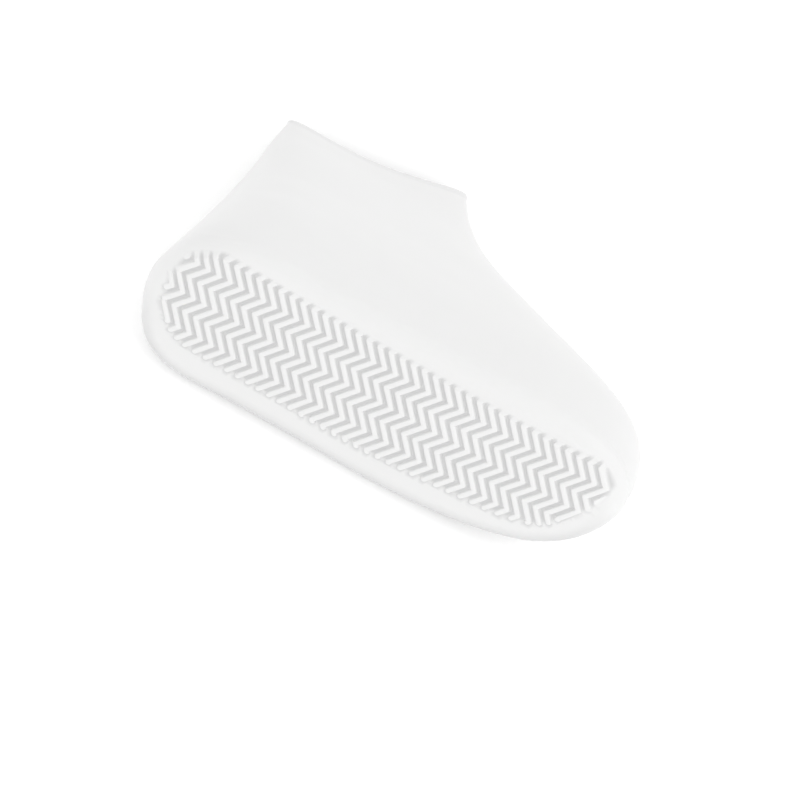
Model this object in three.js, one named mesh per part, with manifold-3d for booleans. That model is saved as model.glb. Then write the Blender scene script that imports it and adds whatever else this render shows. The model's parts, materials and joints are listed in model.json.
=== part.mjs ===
// Overshoe of silicone rubber for the left foot: one hollow moulding, lying on its small-toe side.
// Millimetres. It is built as worn: +X to the toe, +Y to the small toe, +Z up from the ground,
// with X and Y zero in the middle of the tread. The last function lays it down.

import * as THREE from 'three';
import * as BufferGeometryUtils from 'three/addons/utils/BufferGeometryUtils.js';
import { ConvexHull } from 'three/addons/math/ConvexHull.js';
import Module from 'manifold-3d';

// Shell sizes
const shoeLength = 275;
const bigToeSideWidth = 54; // middle line of the tread to the big-toe side
const smallToeSideWidth = 64.5; // middle line of the tread to the small-toe side
const wallThickness = 1.3;
const soleThickness = 2.5;
const soleEdgeRadius = 9;
const heelRise = 3.5;
const heelRiseLength = 32;
const toeRise = 2.5;
const toeRiseLength = 45;

// Collar sizes
const collarBackHeight = 146;
const collarFrontHeight = 158.5;
const collarLength = 101.5;
const collarSetback = 23.5; // heel end to the back of the collar
const collarSlit = 19; // across the opening, over the walls
const seamOffset = 5; // back edge and front edge of the collar, off the same line
const collarLean = 8.5; // middle of the opening, off the middle line of the tread
const rimSag = 7;
const beadRadius = 1.2;

// Tread sizes
const treadBigToeSideWidth = 41;
const treadSmallToeSideWidth = 41.5;
const treadEndMargin = 9.5;
const ribPitch = 6.53;
const ribWidth = 3.7;
const ribHeight = 1.5;
const zigzagSwing = 7.4; // how far a rib runs along the shoe between two bends
const zigzagStep = 12.5; // how far it runs across the shoe between two bends
const zigzagOffset = 1.1; // a bend towards the toe lies here, off the middle line
const ribLimitShare = 0.45; // ribs end this share of soleEdgeRadius inside the widest line
const ribRootShare = 0.8; // ribs are sunk into the sole by this share of its thickness

// How fine the mesh is
const pointsPerRow = 3;
const wallRings = 18;
const edgeRings = 4;
const beadRings = 5;
const treadPointsPerRow = 3;

// Sole outline from the heel end round the small-toe side to the toe end and back.
// along is a share of shoeLength; across is a share of the width on its side.
const soleRows = [
  { along: 0, across: 0.18 },
  { along: 0.013, across: 0.54 },
  { along: 0.05, across: 0.84 },
  { along: 0.13, across: 0.99 },
  { along: 0.25, across: 0.985 },
  { along: 0.4, across: 0.985 },
  { along: 0.53, across: 1 },
  { along: 0.66, across: 0.97 },
  { along: 0.78, across: 0.875 },
  { along: 0.885, across: 0.69 },
  { along: 0.96, across: 0.38 },
  { along: 1, across: -0.12 },
  { along: 0.975, across: -0.58 },
  { along: 0.91, across: -0.86 },
  { along: 0.78, across: -1 },
  { along: 0.62, across: -0.98 },
  { along: 0.45, across: -0.94 },
  { along: 0.28, across: -0.92 },
  { along: 0.14, across: -0.875 },
  { along: 0.05, across: -0.595 },
  { along: 0.013, across: -0.175 },
];
const toeRow = 11;

// Wall from the widest line of the sole edge up to the collar.
// Heights are shares of the collar heights above that line, backIn of collarSetback, frontIn of the
// way from the toe end back to the collar; bigToe and smallToe are how much of each side's width is
// left over that of the collar; slit goes from the outline of the sole to that of the opening.
const wallRows = [
  { backUp: 0, backIn: 0, frontUp: 0, frontIn: 0.006, bigToe: 1, smallToe: 1, slit: 0 },
  { backUp: 0.084, backIn: 0.103, frontUp: 0.071, frontIn: 0, bigToe: 0.996, smallToe: 0.93, slit: 0 },
  { backUp: 0.211, backIn: 0.28, frontUp: 0.17, frontIn: 0.022, bigToe: 0.95, smallToe: 0.79, slit: 0.06 },
  { backUp: 0.326, backIn: 0.426, frontUp: 0.244, frontIn: 0.068, bigToe: 0.875, smallToe: 0.68, slit: 0.14 },
  { backUp: 0.414, backIn: 0.527, frontUp: 0.311, frontIn: 0.14, bigToe: 0.79, smallToe: 0.59, slit: 0.24 },
  { backUp: 0.495, backIn: 0.62, frontUp: 0.384, frontIn: 0.255, bigToe: 0.7, smallToe: 0.515, slit: 0.34 },
  { backUp: 0.575, backIn: 0.69, frontUp: 0.474, frontIn: 0.41, bigToe: 0.59, smallToe: 0.435, slit: 0.45 },
  { backUp: 0.656, backIn: 0.765, frontUp: 0.571, frontIn: 0.575, bigToe: 0.48, smallToe: 0.35, slit: 0.56 },
  { backUp: 0.744, backIn: 0.825, frontUp: 0.664, frontIn: 0.722, bigToe: 0.365, smallToe: 0.27, slit: 0.68 },
  { backUp: 0.839, backIn: 0.87, frontUp: 0.769, frontIn: 0.85, bigToe: 0.235, smallToe: 0.172, slit: 0.8 },
  { backUp: 0.92, backIn: 0.925, frontUp: 0.885, frontIn: 0.943, bigToe: 0.11, smallToe: 0.08, slit: 0.92 },
  { backUp: 1, backIn: 1, frontUp: 1, frontIn: 1, bigToe: 0, smallToe: 0, slit: 1 },
];

// Tread outline, in the same way round: along is a share of the tread's length, and across of the
// tread's width on its side.
const treadRows = [
  { along: 0, across: -0.05 },
  { along: 0.01, across: 0.34 },
  { along: 0.03, across: 0.6 },
  { along: 0.05, across: 0.77 },
  { along: 0.085, across: 0.89 },
  { along: 0.22, across: 0.935 },
  { along: 0.48, across: 1 },
  { along: 0.7, across: 0.9 },
  { along: 0.85, across: 0.77 },
  { along: 0.915, across: 0.56 },
  { along: 0.945, across: 0.29 },
  { along: 0.978, across: -0.05 },
  { along: 0.992, across: -0.3 },
  { along: 1, across: -0.7 },
  { along: 0.99, across: -0.96 },
  { along: 0.955, across: -1 },
  { along: 0.9, across: -0.98 },
  { along: 0.77, across: -0.95 },
  { along: 0.5, across: -0.945 },
  { along: 0.3, across: -0.965 },
  { along: 0.1, across: -0.99 },
  { along: 0.045, across: -0.95 },
  { along: 0.022, across: -0.84 },
  { along: 0.008, across: -0.4 },
];

// Values worked out from the sizes
const heelEnd = -shoeLength / 2;
const toeEnd = shoeLength / 2;
const vampLength = shoeLength - collarSetback - collarLength;
const edgeHeight = ribHeight + soleEdgeRadius;
const soleHalfWidth = (bigToeSideWidth + smallToeSideWidth) / 2;
const collarFullness = 3; // power of the rounded ends of the slit
const treadLength = shoeLength - 2 * treadEndMargin;

// How much the ground side of the sole is lifted near the heel and the toe.
function rocker(x) {
  const heelShare = Math.max(0, (heelEnd + heelRiseLength - x) / heelRiseLength);
  const toeShare = Math.max(0, (x - toeEnd + toeRiseLength) / toeRiseLength);
  return heelRise * heelShare ** 2 + toeRise * toeShare ** 2;
}

// A smooth closed outline through rows of shares, as points in the ground plane.
function outlinePoints(rows, length, bigToeSide, smallToeSide, count) {
  const places = rows.map((row) => new THREE.Vector3(
    (row.along - 0.5) * length,
    row.across * (row.across < 0 ? bigToeSide : smallToeSide),
    0,
  ));
  const curve = new THREE.CatmullRomCurve3(places, true, 'centripetal');
  return Array.from({ length: count }, (_, index) => curve.getPoint(index / count));
}

// Each point of the sole outline with its share of the length and the side that it is on.
function soleOutline() {
  const count = soleRows.length * pointsPerRow;
  const points = outlinePoints(soleRows, shoeLength, bigToeSideWidth, smallToeSideWidth, count);
  return points.map((point, index) => {
    const before = points[(index + count - 1) % count];
    const after = points[(index + 1) % count];
    const inward = new THREE.Vector3(after.y - before.y, before.x - after.x, 0).normalize();
    const share = THREE.MathUtils.clamp((point.x - heelEnd) / shoeLength, 0, 1);
    return { point, inward, share, side: index < toeRow * pointsPerRow ? 1 : -1 };
  });
}

// The wall's sizes at any level between two rows, smoothly.
function wallLevels() {
  const columns = Object.keys(wallRows[0]);
  const levels = Float32Array.from(wallRows.keys());
  const values = Float32Array.from(wallRows.flatMap((row) => columns.map((column) => row[column])));
  const smooth = new THREE.CubicInterpolant(levels, values, columns.length);
  return (level) => {
    const found = smooth.evaluate(level);
    return Object.fromEntries(columns.map((column, index) => [column, found[index]]));
  };
}

// One ring of the wall at a level, from the sole's outline to the slit of the collar.
function wallRing(outline, level, size) {
  const back = new THREE.Vector3(
    heelEnd + size.backIn * collarSetback,
    THREE.MathUtils.lerp(soleRows[0].across * smallToeSideWidth, seamOffset, size.slit),
    edgeHeight + size.backUp * (collarBackHeight - edgeHeight),
  );
  const front = new THREE.Vector3(
    toeEnd - size.frontIn * vampLength,
    THREE.MathUtils.lerp(soleRows[toeRow].across * bigToeSideWidth, seamOffset / 2, size.frontIn),
    edgeHeight + size.frontUp * (collarFrontHeight - edgeHeight),
  );
  const bigToeSide = THREE.MathUtils.lerp(collarLean - collarSlit / 2, -bigToeSideWidth, size.bigToe);
  const smallToeSide = THREE.MathUtils.lerp(collarLean + collarSlit / 2, smallToeSideWidth, size.smallToe);
  const halfWidth = (smallToeSide - bigToeSide) / 2;
  const bow = (smallToeSide + bigToeSide) / 2 - (back.y + front.y) / 2;
  return outline.map(({ point, share, side }) => {
    const middle = 1 - (2 * share - 1) ** 2;
    const place = new THREE.Vector3().lerpVectors(back, front, share);
    const rounded = Math.sqrt(1 - Math.abs(2 * share - 1) ** collarFullness);
    const slitY = place.y + bow * middle + side * halfWidth * rounded;
    const scale = point.y < 0 ? -bigToeSide / bigToeSideWidth : smallToeSide / smallToeSideWidth;
    const soleY = point.y * scale;
    place.y = THREE.MathUtils.lerp(soleY, slitY, size.slit);
    place.z -= rimSag * size.slit ** 2 * middle;
    return place;
  });
}

// Rings of the rounded edge between the flat of the sole and its widest line.
function edgeRingsOf(outline) {
  return Array.from({ length: edgeRings }, (_, index) => {
    const turn = (Math.PI / 2) * (index / edgeRings);
    return outline.map(({ point, inward }) => point.clone()
      .addScaledVector(inward, soleEdgeRadius * (1 - Math.sin(turn)))
      .setZ(ribHeight + soleEdgeRadius * (1 - Math.cos(turn))));
  });
}

// Outward direction at each point of a grid of rings.
function outwardDirections(rings) {
  return rings.map((ring, row) => ring.map((point, index) => {
    const count = ring.length;
    const around = ring[(index + 1) % count].clone().sub(ring[(index + count - 1) % count]);
    const above = rings[Math.min(row + 1, rings.length - 1)][index];
    const below = rings[Math.max(row - 1, 0)][index];
    const upward = above.clone().sub(below);
    return upward.cross(around).normalize();
  }));
}

// Wall thickness at a ring, from the sole up to the even wall.
function thicknessAt(row) {
  const share = Math.min(row / edgeRings, 1);
  return THREE.MathUtils.lerp(soleThickness, wallThickness, share);
}

// The rolled rim: rings round the edge of the wall at the collar.
function beadRingsOf(top, below, outward) {
  return Array.from({ length: beadRings + 1 }, (_, index) => {
    const turn = THREE.MathUtils.lerp(-Math.PI / 4, 1.25 * Math.PI, index / beadRings);
    return top.map((point, place) => {
      const upward = point.clone().sub(below[place]).normalize();
      return point.clone()
        .addScaledVector(outward[place], beadRadius * Math.cos(turn) - wallThickness / 2)
        .addScaledVector(upward, beadRadius * Math.sin(turn));
    });
  });
}

// Triangles across a ring that starts and ends at the heel, in strips from side to side.
function ladderAcross(ring) {
  let left = 1;
  let right = ring.length - 1;
  const rungs = [[0, left, right]];
  while (right - left > 1) {
    const alongLeft = ring[left + 1].x < ring[right - 1].x;
    rungs.push([left, alongLeft ? left + 1 : right - 1, right]);
    left += alongLeft ? 1 : 0;
    right -= alongLeft ? 0 : 1;
  }
  return rungs;
}

// Triangles between neighbouring rings, and across the first and the last.
function bodyFromRings(rings) {
  const count = rings[0].length;
  const triangles = [];
  for (let row = 0; row < rings.length - 1; row += 1) {
    for (let index = 0; index < count; index += 1) {
      const next = (index + 1) % count;
      const a = row * count + index;
      const b = row * count + next;
      triangles.push(a, b + count, b, a, a + count, b + count);
    }
  }
  const last = (rings.length - 1) * count;
  ladderAcross(rings[0]).forEach(([a, b, c]) => {
    triangles.push(a, b, c, last + a, last + c, last + b);
  });
  const geometry = new THREE.BufferGeometry();
  const places = rings.flat().flatMap((point) => [point.x, point.y, point.z]);
  geometry.setAttribute('position', new THREE.Float32BufferAttribute(places, 3));
  geometry.setIndex(triangles);
  return geometry;
}

function shellGeometry() {
  const outline = soleOutline();
  const sizeAt = wallLevels();
  const topLevel = wallRows.length - 1;
  const outer = edgeRingsOf(outline);
  for (let ring = 0; ring <= wallRings; ring += 1) {
    const level = topLevel * (ring / wallRings);
    outer.push(wallRing(outline, level, sizeAt(level)));
  }
  const outward = outwardDirections(outer);
  outward[0].forEach((direction) => direction.set(0, 0, -1));
  const inner = outer.map((ring, row) => ring.map((point, index) => point.clone()
    .addScaledVector(outward[row][index], -thicknessAt(row))));
  const top = outer.length - 1;
  const bead = beadRingsOf(outer[top], outer[top - 1], outward[top]);
  return bodyFromRings([...outer.slice(0, top), ...bead, ...inner.slice(0, top).reverse()]);
}

// One zigzag rib, straight-sided, reaching from the ground side into the sole.
function ribGeometry(middleX) {
  const firstBend = Math.floor((-bigToeSideWidth - zigzagOffset) / zigzagStep);
  const lastBend = Math.ceil((smallToeSideWidth - zigzagOffset) / zigzagStep);
  const frontSide = [];
  const backSide = [];
  for (let bend = firstBend; bend <= lastBend; bend += 1) {
    const swing = (bend % 2 === 0 ? 0.5 : -0.5) * zigzagSwing;
    const y = zigzagOffset + bend * zigzagStep;
    frontSide.push(new THREE.Vector2(middleX + swing + ribWidth / 2, y));
    backSide.push(new THREE.Vector2(middleX + swing - ribWidth / 2, y));
  }
  const shape = new THREE.Shape([...frontSide, ...backSide.reverse()]);
  const depth = ribHeight + ribRootShare * soleThickness;
  return new THREE.ExtrudeGeometry(shape, { depth, bevelEnabled: false });
}

const wasm = await Module();
wasm.setup();

// A closed geometry as a solid. Corners that its faces share become one point.
function solidFrom(geometry) {
  const plain = geometry.clone();
  plain.deleteAttribute('normal');
  plain.deleteAttribute('uv');
  return solidFromShared(BufferGeometryUtils.mergeVertices(plain, 1e-4));
}

// A closed geometry whose corners are shared already, as a solid.
function solidFromShared(geometry) {
  return new wasm.Manifold(new wasm.Mesh({
    numProp: 3,
    vertProperties: Float32Array.from(geometry.attributes.position.array),
    triVerts: Uint32Array.from(geometry.index.array),
  }));
}

function geometryFrom(solid) {
  const mesh = solid.getMesh();
  const geometry = new THREE.BufferGeometry();
  geometry.setAttribute('position', new THREE.BufferAttribute(Float32Array.from(mesh.vertProperties), 3));
  geometry.setIndex(new THREE.BufferAttribute(Uint32Array.from(mesh.triVerts), 1));
  return geometry;
}

// Lifts heel and toe by the rocker of the sole.
function withRocker(geometry) {
  const places = geometry.attributes.position;
  for (let index = 0; index < places.count; index += 1) {
    places.setZ(index, places.getZ(index) + rocker(places.getX(index)));
  }
  return geometry;
}

// A block with an outline in the ground plane, from the ground up into the sole.
function uprightBlock(points) {
  const shape = new THREE.Shape(points.map((point) => new THREE.Vector2(point.x, point.y)));
  const depth = ribHeight + soleThickness;
  return solidFrom(new THREE.ExtrudeGeometry(shape, { depth, bevelEnabled: false }));
}

// The ribs inside the tread's outline, on the flat of the sole and a little up its rounded edge.
function treadSolid() {
  const ribCount = 2 * Math.ceil(treadLength / ribPitch / 2);
  const count = treadRows.length * treadPointsPerRow;
  const edge = outlinePoints(treadRows, treadLength, treadBigToeSideWidth, treadSmallToeSideWidth, count);
  const limit = soleOutline().map(({ point, inward }) => (
    point.clone().addScaledVector(inward, ribLimitShare * soleEdgeRadius)));
  const field = uprightBlock(edge).intersect(uprightBlock(limit));
  let ribs = null;
  for (let index = 0; index < ribCount; index += 1) {
    const middleX = (index - (ribCount - 1) / 2) * ribPitch;
    const rib = solidFrom(ribGeometry(middleX)).intersect(field);
    ribs = ribs ? ribs.add(rib) : rib;
  }
  return ribs;
}

function overshoeGeometry() {
  const tread = solidFromShared(withRocker(geometryFrom(treadSolid())));
  const shell = solidFrom(withRocker(shellGeometry()));
  return geometryFrom(shell.add(tread));
}

// Centre of mass of a closed geometry of one material.
function centreOfMass(geometry) {
  const places = geometry.attributes.position;
  const corners = [new THREE.Vector3(), new THREE.Vector3(), new THREE.Vector3()];
  const sum = new THREE.Vector3();
  let volume = 0;
  for (let start = 0; start < geometry.index.count; start += 3) {
    corners.forEach((corner, step) => corner.fromBufferAttribute(places, geometry.index.getX(start + step)));
    const part = corners[0].dot(corners[1].clone().cross(corners[2]));
    volume += part;
    corners.forEach((corner) => sum.addScaledVector(corner, part / 4));
  }
  return sum.divideScalar(volume);
}

// The face of the hull that the overshoe rests on when it lies on its small-toe side: the one that
// has the centre of mass over it and faces that side most.
function restingNormal(geometry) {
  const places = geometry.attributes.position;
  const points = Array.from({ length: places.count }, (_, index) => (
    new THREE.Vector3().fromBufferAttribute(places, index)));
  const middle = centreOfMass(geometry);
  const hull = new ConvexHull().setFromPoints(points);
  const side = new THREE.Vector3(0, 1, 0);
  let best = null;
  hull.faces.forEach((face) => {
    const corners = [face.edge, face.edge.next, face.edge.prev].map((edge) => edge.head().point);
    const foot = middle.clone().addScaledVector(face.normal, -face.distanceToPoint(middle));
    const covers = new THREE.Triangle(...corners).containsPoint(foot);
    if (covers && (!best || face.normal.dot(side) > best.dot(side))) {
      best = face.normal.clone();
    }
  });
  return best;
}

// Turns the worn overshoe so that its resting face is on the ground and its toe points along +X.
function lieDown(mesh) {
  const down = restingNormal(mesh.geometry);
  const toe = new THREE.Vector3(1, 0, 0);
  const alongX = toe.clone().addScaledVector(down, -toe.dot(down)).normalize();
  const alongZ = down.clone().negate();
  const alongY = alongZ.clone().cross(alongX);
  const asWorn = new THREE.Matrix4().makeBasis(alongX, alongY, alongZ);
  mesh.quaternion.setFromRotationMatrix(asWorn.transpose());
  mesh.updateMatrixWorld(true);
  const box = new THREE.Box3().setFromObject(mesh, true);
  mesh.position.set(-(box.min.x + box.max.x) / 2, -(box.min.y + box.max.y) / 2, -box.min.z);
}

const silicone = new THREE.MeshStandardMaterial({ color: 0xeeefee, roughness: 0.42, metalness: 0 });
const shell = new THREE.Mesh(overshoeGeometry(), silicone);
shell.name = 'overshoe_shell';
lieDown(shell);

const overshoe = new THREE.Group();
overshoe.add(shell);

export default overshoe;
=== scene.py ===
"""Overshoe of milky silicone rubber, lying on its small-toe side in a white studio.

The overshoe is one hollow moulding. Its surface is worked out as worn, in millimetres, with +X to
the toe, +Y to the small toe and +Z up from the ground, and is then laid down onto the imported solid.
"""

import json
import logging
import math
from dataclasses import dataclass, field
from enum import Enum
from typing import NamedTuple

import bpy
import numpy as np
from mathutils import Matrix, Vector
from mathutils.geometry import delaunay_2d_cdt


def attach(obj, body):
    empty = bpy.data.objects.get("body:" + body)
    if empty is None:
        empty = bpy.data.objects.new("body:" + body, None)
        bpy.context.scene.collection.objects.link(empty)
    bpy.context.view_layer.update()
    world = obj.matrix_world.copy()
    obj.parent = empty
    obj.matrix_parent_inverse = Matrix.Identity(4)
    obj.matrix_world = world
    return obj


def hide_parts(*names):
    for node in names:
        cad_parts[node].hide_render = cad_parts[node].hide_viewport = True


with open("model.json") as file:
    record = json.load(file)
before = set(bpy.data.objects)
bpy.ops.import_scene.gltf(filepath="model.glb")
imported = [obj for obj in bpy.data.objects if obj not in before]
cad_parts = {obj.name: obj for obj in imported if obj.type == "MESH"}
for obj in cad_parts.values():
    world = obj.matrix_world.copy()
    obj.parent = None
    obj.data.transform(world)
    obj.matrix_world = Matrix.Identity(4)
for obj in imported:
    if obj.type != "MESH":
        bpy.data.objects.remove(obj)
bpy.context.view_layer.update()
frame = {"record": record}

LOG = logging.getLogger("overshoe")
MM = 0.001
SOLID_NODE = "overshoe_shell"
PIECE = "moulded_overshoe"
# Mesh attribute of painted shade: in the grooves, past the rib ends, along the lower edge and on the
# rim line.
PAINTED_SHADE = "painted_shade"
TINY = 1e-12
Numbers = np.ndarray | float


class OutlineRow(NamedTuple):
    """A point of an outline: shares of the length and of the width on its side."""

    along: float
    across: float


class WallRow(NamedTuple):
    """Sizes of the wall at one level, as shares of the sizes that they follow."""

    back_up: float
    back_in: float
    front_up: float
    front_in: float
    big_toe: float
    small_toe: float
    slit: float


class Zone(Enum):
    """Zones of the moulding that differ in finish. The value is the material's place."""

    WALL = 0
    TREAD = 1
    RIM = 2


SOLE_ROWS = tuple(OutlineRow(*shares) for shares in (
    (0, 0.18), (0.013, 0.54), (0.05, 0.84), (0.13, 0.99), (0.25, 0.985), (0.4, 0.985), (0.53, 1),
    (0.66, 0.97), (0.78, 0.875), (0.885, 0.69), (0.96, 0.38), (1, -0.12), (0.975, -0.58),
    (0.91, -0.86), (0.78, -1), (0.62, -0.98), (0.45, -0.94), (0.28, -0.92), (0.14, -0.875),
    (0.05, -0.595), (0.013, -0.175),
))

TREAD_ROWS = tuple(OutlineRow(*shares) for shares in (
    (0, -0.05), (0.01, 0.34), (0.03, 0.6), (0.05, 0.77), (0.085, 0.89), (0.22, 0.935), (0.48, 1),
    (0.7, 0.9), (0.85, 0.77), (0.915, 0.56), (0.945, 0.29), (0.978, -0.05), (0.992, -0.3),
    (1, -0.7), (0.99, -0.96), (0.955, -1), (0.9, -0.98), (0.77, -0.95), (0.5, -0.945),
    (0.3, -0.965), (0.1, -0.99), (0.045, -0.95), (0.022, -0.84), (0.008, -0.4),
))

WALL_ROWS = (
    WallRow(0, 0, 0, 0.006, 1, 1, 0),
    WallRow(0.084, 0.103, 0.071, 0, 0.996, 0.93, 0),
    WallRow(0.211, 0.28, 0.17, 0.022, 0.95, 0.79, 0.06),
    WallRow(0.326, 0.426, 0.244, 0.068, 0.875, 0.68, 0.14),
    WallRow(0.414, 0.527, 0.311, 0.14, 0.79, 0.59, 0.24),
    WallRow(0.495, 0.62, 0.384, 0.255, 0.7, 0.515, 0.34),
    WallRow(0.575, 0.69, 0.474, 0.41, 0.59, 0.435, 0.45),
    WallRow(0.656, 0.765, 0.571, 0.575, 0.48, 0.35, 0.56),
    WallRow(0.744, 0.825, 0.664, 0.722, 0.365, 0.27, 0.68),
    WallRow(0.839, 0.87, 0.769, 0.85, 0.235, 0.172, 0.8),
    WallRow(0.92, 0.925, 0.885, 0.943, 0.11, 0.08, 0.92),
    WallRow(1, 1, 1, 1, 0, 0, 1),
)


def mix(start: Numbers, end: Numbers, share: Numbers) -> Numbers:
    """Goes from one value to another.

    Args:
        start: value at share 0.
        end: value at share 1.
        share: how far to go.

    Returns:
        The value on the way.
    """
    return start + (end - start) * share


def closed_spline(places: np.ndarray, per_row: int) -> np.ndarray:
    """Runs a centripetal Catmull-Rom curve through a closed row of places.

    Args:
        places: the places, one a row.
        per_row: points from each place to the next.

    Returns:
        The points of the curve, starting at the first place.
    """
    steps = np.arange(per_row)[:, None] / per_row
    found = []
    for index in range(len(places)):
        before, start, end, after = (places[(index + step) % len(places)] for step in (-1, 0, 1, 2))
        gap_before, gap, gap_after = (
            math.sqrt(np.linalg.norm(b - a))
            for a, b in ((before, start), (start, end), (end, after))
        )
        leave = ((start - before) / gap_before - (end - before) / (gap_before + gap)
                 + (end - start) / gap)
        arrive = ((end - start) / gap - (after - start) / (gap + gap_after)
                  + (after - end) / gap_after)
        leave = leave * gap
        arrive = arrive * gap
        square = 3 * (end - start) - 2 * leave - arrive
        cube = 2 * (start - end) + leave + arrive
        found.append(start + leave * steps + square * steps**2 + cube * steps**3)
    return np.concatenate(found)


def smooth_row(rows: np.ndarray, level: float) -> np.ndarray:
    """Reads a table between two rows, smoothly, with straight ends.

    Args:
        rows: the table, one level a row.
        level: the level to read.

    Returns:
        The values of all columns at that level.
    """
    last = len(rows) - 1
    low = min(int(level), last - 1)
    share = level - low
    before = rows[low - 1] if low > 0 else rows[low + 1]
    after = rows[low + 2] if low + 2 <= last else rows[low]
    bend_before = 0.5 if low > 0 else -0.5
    bend_after = 0.5 if low + 2 <= last else -0.5
    square = share**2
    cube = share**3
    return (
        before * bend_before * (2 * square - cube - share)
        + rows[low] * ((1 + bend_before) * cube - (1.5 + 2 * bend_before) * square
                       + (bend_before - 0.5) * share + 1)
        + rows[low + 1] * ((1.5 + bend_after) * square - (1 + bend_after) * cube + 0.5 * share)
        + after * bend_after * (cube - square)
    )


def smooth_step(share: np.ndarray) -> np.ndarray:
    """Rises from 0 to 1 with level ends while the share goes from 0 to 1.

    Args:
        share: how far along; below 0 and above 1 it stays level.

    Returns:
        The height of each share.
    """
    held = np.clip(share, 0, 1)
    return held**2 * (3 - 2 * held)


def distance_to_lines(points: np.ndarray, starts: np.ndarray, ends: np.ndarray) -> np.ndarray:
    """Measures how far points lie from the nearest of some straight lines.

    Args:
        points: the points, in the plane.
        starts: the first ends of the lines.
        ends: their other ends.

    Returns:
        The distance of each point.
    """
    along = ends - starts
    length = np.maximum((along**2).sum(1), TINY)
    away = points[:, None, :] - starts[None, :, :]
    share = np.clip((away * along).sum(2) / length, 0, 1)
    return np.sqrt(((away - share[:, :, None] * along) ** 2).sum(2).min(1))


def depth_inside(points: np.ndarray, outline: np.ndarray) -> np.ndarray:
    """Measures how deep points lie inside a closed outline.

    Args:
        points: the points, in the plane.
        outline: the outline's corners in order.

    Returns:
        The distance to the outline, below zero outside it.
    """
    starts = outline
    ends = np.roll(outline, -1, axis=0)
    across = points[:, None, 1]
    crossing = (starts[None, :, 1] > across) != (ends[None, :, 1] > across)
    rise = ends[:, 1] - starts[:, 1]
    rise = np.where(np.abs(rise) < TINY, TINY, rise)
    meets = starts[:, 0] + (across - starts[:, 1]) * (ends[:, 0] - starts[:, 0]) / rise
    inside = (crossing & (points[:, None, 0] < meets)).sum(1) % 2 == 1
    distance = distance_to_lines(points, starts, ends)
    return np.where(inside, distance, -distance)


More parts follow.
